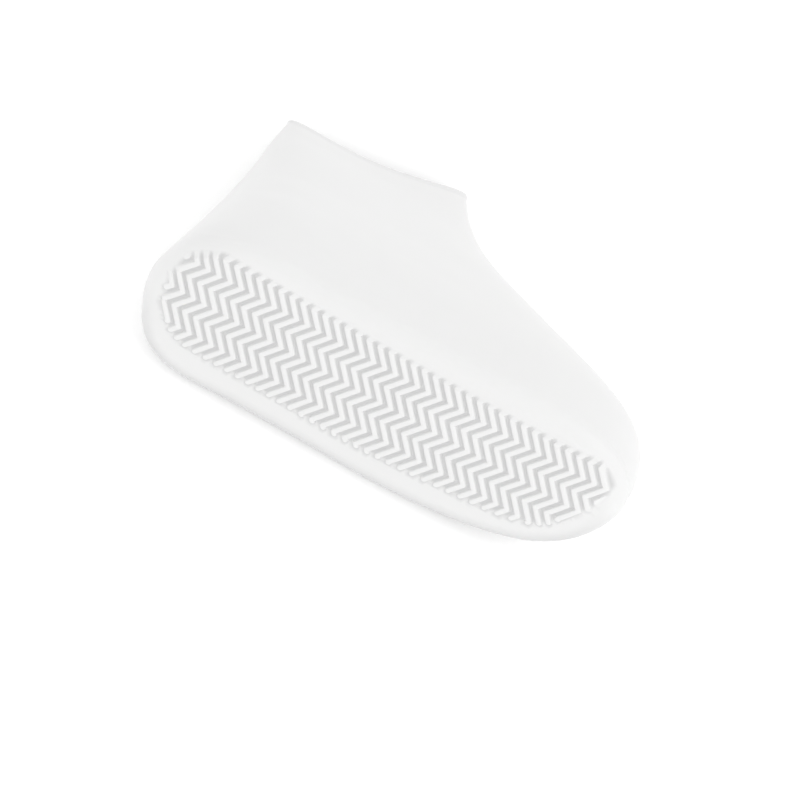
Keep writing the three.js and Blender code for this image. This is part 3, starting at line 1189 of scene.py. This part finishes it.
@dataclass
class Overshoe:
    """The whole moulding: sole with its tread, wall and rolled rim."""

    sole: Sole = field(default_factory=Sole)
    collar: Collar = field(default_factory=Collar)
    finishes: dict[Zone, SiliconeFinish] = field(default_factory=lambda: {
        Zone.WALL: SiliconeFinish("silicone_wall"),
        Zone.TREAD: SiliconeFinish("silicone_tread", wave_height=0.00005),
        # The rim's painted shade colour darkens the painted shadow line along its edge.
        Zone.RIM: SiliconeFinish("silicone_rim", tint=(0.72, 0.72, 0.72),
                                 painted_shade_tint=(0.42, 0.42, 0.42), roughness=0.36, wave_height=0.0),
    })
    floor_step: float = 6.0

    def __post_init__(self) -> None:
        """Makes the sub-assemblies that hang on the sole and the collar."""
        self.upper = Upper(self.sole, self.collar)
        self.tread = Tread(self.sole)
        self.points: list[np.ndarray] = []
        self.painted_shade: list[np.ndarray] = []
        self.faces: list[tuple[int, ...]] = []
        self.zones: list[int] = []
        self.count = 0

    def outward(self, rings: list[np.ndarray]) -> list[np.ndarray]:
        """Finds the outward direction at each point of the rings.

        Args:
            rings: the rings from the ground up.

        Returns:
            One array of unit directions for each ring.
        """
        found = []
        for row, ring in enumerate(rings):
            around = np.roll(ring, -1, axis=0) - np.roll(ring, 1, axis=0)
            upward = rings[min(row + 1, len(rings) - 1)] - rings[max(row - 1, 0)]
            way = np.cross(upward, around)
            found.append(way / np.linalg.norm(way, axis=1)[:, None])
        found[0][:] = (0, 0, -1)
        return found

    def add_points(self, points: np.ndarray, painted_shade: np.ndarray | None = None) -> int:
        """Adds points to the moulding.

        Args:
            points: the points, as worn.
            painted_shade: how much painted shade each of them gets, or nothing where none is painted.

        Returns:
            The number of the first point.
        """
        first = self.count
        self.points.append(points)
        self.painted_shade.append(np.zeros(len(points)) if painted_shade is None else painted_shade)
        self.count += len(points)
        return first

    def add_faces(self, faces: list[tuple[int, ...]], zone: Zone) -> None:
        """Adds faces of one zone to the moulding."""
        self.faces += faces
        self.zones += [zone.value] * len(faces)

    def add_rings(self, rings: list[np.ndarray], zones: list[Zone],
                  painted_ring_shades: np.ndarray) -> tuple[int, int]:
        """Adds rings and the faces between them.

        Args:
            rings: the rings in order.
            zones: the zone of the faces after each ring.
            painted_ring_shades: the painted shadow line on each ring, apart from the painted shade of
                the lower edge.

        Returns:
            The numbers of the first points of the first and of the last ring.
        """
        count = len(rings[0])
        edge_height = self.tread.rib_height + self.sole.edge_radius
        # Painted shade: the rim's painted shadow line or the lower edge's painted shade, whichever is
        # stronger.
        starts = [
            self.add_points(ring, np.maximum(painted_ring_shade, self.sole.painted_edge_shade(ring, edge_height)))
            for ring, painted_ring_shade in zip(rings, painted_ring_shades)
        ]
        places = range(count)
        for low, high, zone in zip(starts, starts[1:], zones):
            self.add_faces([
                (low + place, high + place, high + (place + 1) % count, low + (place + 1) % count)
                for place in places
            ], zone)
        return starts[0], starts[-1]

    def add_ground_side(self, side: GroundSide, ground: float, outline_start: int) -> None:
        """Adds the ground side inside the first ring.

        Args:
            side: the ground side, whose first points are those of the ring.
            ground: height of the flat of the sole.
            outline_start: number of the ring's first point.
        """
        rim = self.ring_count
        points = np.column_stack([side.plate.points, ground - side.height])
        # Painted shade of the lower edge, joined with the painted groove shade and rib-end shadow.
        shade = self.sole.painted_edge_shade(points, ground + self.sole.edge_radius)
        painted_shade = np.maximum(side.painted_shade, shade)
        first = self.add_points(points[rim:], painted_shade[rim:])
        numbers = [*range(outline_start, outline_start + rim), *range(first, self.count)]
        faces = [tuple(numbers[corner] for corner in face[::-1]) for face in side.plate.faces]
        self.add_faces(faces, Zone.TREAD)
        LOG.info("tread: %d points, %d faces", len(points), len(side.plate.faces))

    def add_inner_floor(self, ring: np.ndarray, ring_start: int) -> None:
        """Adds the floor of the hollow inside the last ring.

        Args:
            ring: the points of the ring.
            ring_start: number of the ring's first point.
        """
        inside = ring[:, :2]
        low = inside.min(0)
        high = inside.max(0)
        along = np.arange(low[0], high[0], self.floor_step)
        across = np.arange(low[1], high[1], self.floor_step)
        grid = np.stack(np.meshgrid(along, across), axis=2).reshape(-1, 2)
        plate = Plate.across(inside, grid[depth_inside(grid, inside) > self.floor_step / 2], [])
        points = np.column_stack([plate.points, np.full(len(plate.points), ring[0, 2])])
        first = self.add_points(points[self.ring_count:])
        numbers = [*range(ring_start, ring_start + self.ring_count), *range(first, self.count)]
        faces = [tuple(numbers[corner] for corner in face) for face in plate.faces]
        self.add_faces(faces, Zone.WALL)
        LOG.info("inner floor: %d faces", len(plate.faces))

    @property
    def ring_count(self) -> int:
        """Number of points in a ring."""
        return len(SOLE_ROWS) * self.sole.points_per_row

    def form(self) -> None:
        """Works out all points and faces of the moulding, as worn."""
        ground = self.tread.rib_height
        outer = self.sole.rings(ground)
        outer += self.upper.rings(ground + self.sole.edge_radius)
        outward = self.outward(outer)
        inner = []
        for row, (ring, way) in enumerate(zip(outer, outward)):
            share = min(row / self.sole.edge_rings, 1)
            inner.append(ring - way * mix(self.sole.thickness, self.upper.thickness, share))
        bead = self.collar.bead(outer[-1], outer[-2], outward[-1], self.upper.thickness)
        border = self.sole.plate_ring
        rings = [*outer[border:-1], *bead, *inner[:-1][::-1]]
        walls = len(outer) - 1
        outside = walls - border
        zones = [Zone.WALL] * (outside - 1) + [Zone.RIM] * (len(bead) + 1) + [Zone.WALL] * walls
        # Painted shadow line along the edge of the rolled rim.
        painted_ring_shades = np.zeros(len(rings))
        painted_ring_shades[outside:outside + len(bead)] = self.collar.painted_rim_line()
        first, last = self.add_rings(rings, zones, painted_ring_shades)
        LOG.info("wall and rim: %d rings of %d points", len(rings), self.ring_count)
        self.add_ground_side(self.tread.ground_side(outer[:border + 1]), ground, first)
        self.add_inner_floor(inner[0], last)

    def build(self, pose: RestPose, effects: SiliconeEffects) -> bpy.types.Object:
        """Makes the moulding as one object in its place.

        Args:
            pose: how the overshoe lies.
            effects: the shared shader groups.

        Returns:
            The object.
        """
        self.form()
        worn = np.concatenate(self.points)
        worn[:, 2] += self.sole.lift(worn[:, 0])
        mesh = bpy.data.meshes.new(PIECE)
        mesh.from_pydata(pose.place(worn).tolist(), [], self.faces)
        mesh.polygons.foreach_set("material_index", self.zones)
        mesh.polygons.foreach_set("use_smooth", [True] * len(self.faces))
        # Painted shade per point, stored for the materials.
        painted_shade = mesh.attributes.new(PAINTED_SHADE, "FLOAT", "POINT")
        painted_shade.data.foreach_set("value", np.concatenate(self.painted_shade))
        for zone in Zone:
            mesh.materials.append(self.finishes[zone].material(effects))
        mesh.validate()
        mesh.update()
        piece = bpy.data.objects.new(PIECE, mesh)
        bpy.context.scene.collection.objects.link(piece)
        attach(piece, "root")
        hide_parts(SOLID_NODE)
        triangles = sum(len(face) - 2 for face in self.faces)
        LOG.info("%s: %d points, %d triangles", piece.name, self.count, triangles)
        return piece


@dataclass(frozen=True)
class Lamp:
    """Soft square lamp that faces the overshoe. Lengths are in metres and the power is in watts."""

    name: str
    place: tuple[float, float, float]
    power: float
    side: float

    def hang(self) -> None:
        """Hangs the lamp."""
        light = bpy.data.lights.new(self.name, "AREA")
        light.energy = self.power
        light.size = self.side
        lamp = bpy.data.objects.new(self.name, light)
        lamp.location = self.place
        lamp.rotation_euler = (-Vector(self.place)).to_track_quat("-Z", "Y").to_euler()
        bpy.context.scene.collection.objects.link(lamp)
        LOG.info("%s hung", self.name)


@dataclass(frozen=True)
class Studio:
    """Plain white floor lit from below, soft lights and the camera. Lengths are in metres."""

    photo_pixels: float = 800.0
    pixels_per_metre: float = 1913.0
    camera_distance: float = 6.0
    sensor: float = 36.0
    roll: float = 29.1
    view_from_below_side: float = 42.0
    aim: tuple[float, float, float] = (0.00883, 0.00588, -0.0372)
    floor_size: float = 14.0
    floor_tint: tuple[float, float, float] = (0.97, 0.97, 0.97)
    floor_roughness: float = 0.95
    floor_gloss: float = 0.1
    floor_glow: float = 0.07
    sky_strength: float = 1.1
    lamps: tuple[Lamp, ...] = (
        Lamp("key_lamp", (1.3, -0.3, 1.5), 5.2, 1.2),
        Lamp("front_lamp", (-0.2, -1.9, 0.7), 1.1, 1.2),
    )

    def build_floor(self) -> None:
        """Lays the floor under the overshoe."""
        half = self.floor_size / 2
        mesh = bpy.data.meshes.new("studio_floor")
        corners = [(-half, -half, 0), (half, -half, 0), (half, half, 0), (-half, half, 0)]
        mesh.from_pydata(corners, [], [(0, 1, 2, 3)])
        material = bpy.data.materials.new("floor_paper")
        material.use_nodes = True
        surface = material.node_tree.nodes["Principled BSDF"]
        for socket, value in (
                ("Base Color", (*self.floor_tint, 1)), ("Roughness", self.floor_roughness),
                ("Specular IOR Level", self.floor_gloss), ("Emission Color", (1, 1, 1, 1)),
                ("Emission Strength", self.floor_glow)):
            surface.inputs[socket].default_value = value
        mesh.materials.append(material)
        floor = bpy.data.objects.new("studio_floor", mesh)
        bpy.context.scene.collection.objects.link(floor)
        LOG.info("studio floor laid")

    def build_sky(self) -> None:
        """Fills the room with even white light."""
        world = bpy.data.worlds.new("white_room")
        world.use_nodes = True
        background = world.node_tree.nodes["Background"]
        background.inputs["Color"].default_value = (1, 1, 1, 1)
        background.inputs["Strength"].default_value = self.sky_strength
        bpy.context.scene.world = world

    def build_camera(self, pose: RestPose) -> None:
        """Sets the camera at the photograph's angle.

        Args:
            pose: how the overshoe lies.
        """
        tilt = math.radians(self.view_from_below_side)
        roll = math.radians(self.roll)
        along = np.array([1.0, 0, 0])
        up_the_side = np.array([0, -math.sin(tilt), math.cos(tilt)])
        towards = np.array([0, -math.cos(tilt), -math.sin(tilt)])
        right = math.cos(roll) * along + math.sin(roll) * up_the_side
        top = -math.sin(roll) * along + math.cos(roll) * up_the_side
        aim = self.aim[0] * along + self.aim[1] * up_the_side + self.aim[2] * towards
        camera = bpy.data.objects.new("studio_camera", bpy.data.cameras.new("studio_camera"))
        camera.data.sensor_width = self.sensor
        frame_width = self.photo_pixels / self.pixels_per_metre
        camera.data.lens = self.sensor * self.camera_distance / frame_width
        axes = [pose.direction(axis) for axis in (right, top, towards)]
        place = Vector(pose.place((aim + towards * self.camera_distance) / MM))
        turn = Matrix(axes).transposed().to_quaternion()
        camera.matrix_world = Matrix.LocRotScale(place, turn, None)
        bpy.context.scene.collection.objects.link(camera)
        bpy.context.scene.camera = camera
        LOG.info("camera at %s", [round(value, 3) for value in place])

    def build(self, pose: RestPose) -> None:
        """Builds the whole studio.

        Args:
            pose: how the overshoe lies.
        """
        self.build_floor()
        self.build_sky()
        for lamp in self.lamps:
            lamp.hang()
        self.build_camera(pose)
        bpy.context.scene.view_settings.view_transform = "Standard"


def main() -> None:
    """Builds the overshoe and the studio."""
    logging.basicConfig(level=logging.INFO, format="%(name)s: %(message)s")
    shoe = Overshoe()
    mounts = {mount["name"]: mount for mount in frame["record"]["mounts"]}
    pose = RestPose.from_tread(mounts["tread_face"], shoe.tread.mount_point())
    shoe.build(pose, SiliconeEffects())
    Studio().build(pose)


if __name__ == "__main__":
    main()
